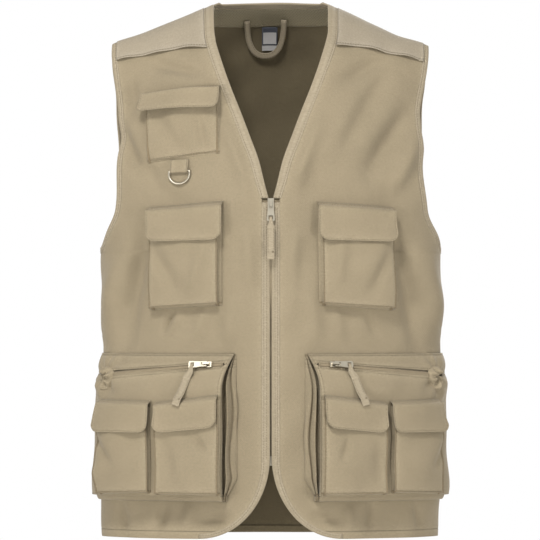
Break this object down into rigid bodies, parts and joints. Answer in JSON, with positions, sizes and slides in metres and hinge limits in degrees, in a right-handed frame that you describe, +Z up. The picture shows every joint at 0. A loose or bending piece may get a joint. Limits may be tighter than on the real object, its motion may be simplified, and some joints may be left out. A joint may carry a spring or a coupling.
{
  "type": "utility work vest",
  "caption": "Sleeveless cotton twill work vest with a V neck, front zip, flapped chest pockets, zipped bellows pockets and a D-ring.",
  "frame": {"origin": "midway between the high points of the two shoulder seams, where the vest hangs on its wearer", "axes": "+Z up along the wearer's body, the front faces -Y, +X towards the wearer's left"},
  "size_m": [0.4552, 0.2801, 0.6924],
  "materials": {
    "twill": "beige cotton-blend twill, washed, with soft creases",
    "yoke_twill": "the same twill, catching more light on the shoulders",
    "binding_tape": "folded twill binding with an edge stitch",
    "webbing": "folded strip of twill that holds the ring",
    "facing_knit": "fine open mesh facing",
    "nickel": "nickel-plated zinc and steel, softly polished",
    "coil": "dyed polyester coil zip",
    "label": "woven satin label, bare",
    "size_tab": "woven tab, bare"
  },
  "bodies": {
    "vest": {"back_panel": "twill", "back_yoke": "yoke_twill", "back_neck_binding": "binding_tape", "hanger_loop": "binding_tape", "neck_facing": "facing_knit", "neck_label": "label", "size_label": "size_tab", "ring_loop": "webbing", "main_slider": "nickel", "zip_stop": "nickel", "zip_coil": "coil", "upper_pouch": "twill", "upper_flap": "twill", "front_panel_right": "twill", "chest_pouch_right": "twill", "chest_flap_right": "twill", "cargo_pouch_right": "twill", "cargo_band_right": "twill", "inner_pouch_right": "twill", "inner_flap_right": "twill", "outer_pouch_right": "twill", "outer_flap_right": "twill", "front_band_right": "twill", "front_yoke_right": "yoke_twill", "neck_binding_right": "binding_tape", "armhole_binding_right": "binding_tape", "zip_tape_right": "binding_tape", "cargo_zip_right": "coil", "cargo_slider_right": "nickel", "front_panel_left": "twill", "chest_pouch_left": "twill", "chest_flap_left": "twill", "cargo_pouch_left": "twill", "cargo_band_left": "twill", "inner_pouch_left": "twill", "inner_flap_left": "twill", "outer_pouch_left": "twill", "outer_flap_left": "twill", "front_band_left": "twill", "front_yoke_left": "yoke_twill", "neck_binding_left": "binding_tape", "armhole_binding_left": "binding_tape", "zip_tape_left": "binding_tape", "cargo_zip_left": "coil", "cargo_slider_left": "nickel"},
    "main_zip_pull": {"main_pull": "nickel", "main_tab": "twill"},
    "ring": {"d_ring": "nickel"},
    "cargo_zip_pull_right": {"cargo_pull_right": "nickel", "cargo_tab_right": "twill"},
    "cargo_zip_pull_left": {"cargo_pull_left": "nickel", "cargo_tab_left": "twill"}
  },
  "joints": [
    {"name": "main_pull_hinge", "type": "hinge", "parent": "vest", "child": "main_zip_pull", "pos_m": [0, -0.13127, -0.26009], "axis": [-1, 0, 0], "range_deg": [0, 165]},
    {"name": "cargo_pull_hinge_right", "type": "hinge", "parent": "vest", "child": "cargo_zip_pull_right", "pos_m": [-0.08269, -0.13385, -0.4654], "axis": [0.0432, 0.4892, 0.8711], "range_deg": [0, 140]},
    {"name": "cargo_pull_hinge_left", "type": "hinge", "parent": "vest", "child": "cargo_zip_pull_left", "pos_m": [0.08269, -0.13385, -0.4654], "axis": [0.0432, -0.4892, -0.8711], "range_deg": [0, 140]},
    {"name": "ring_hinge", "type": "hinge", "parent": "vest", "child": "ring", "pos_m": [-0.1175, -0.10347, -0.21863], "axis": [-0.9376, 0.3446, -0.0463], "range_deg": [0, 110]}
  ]
}
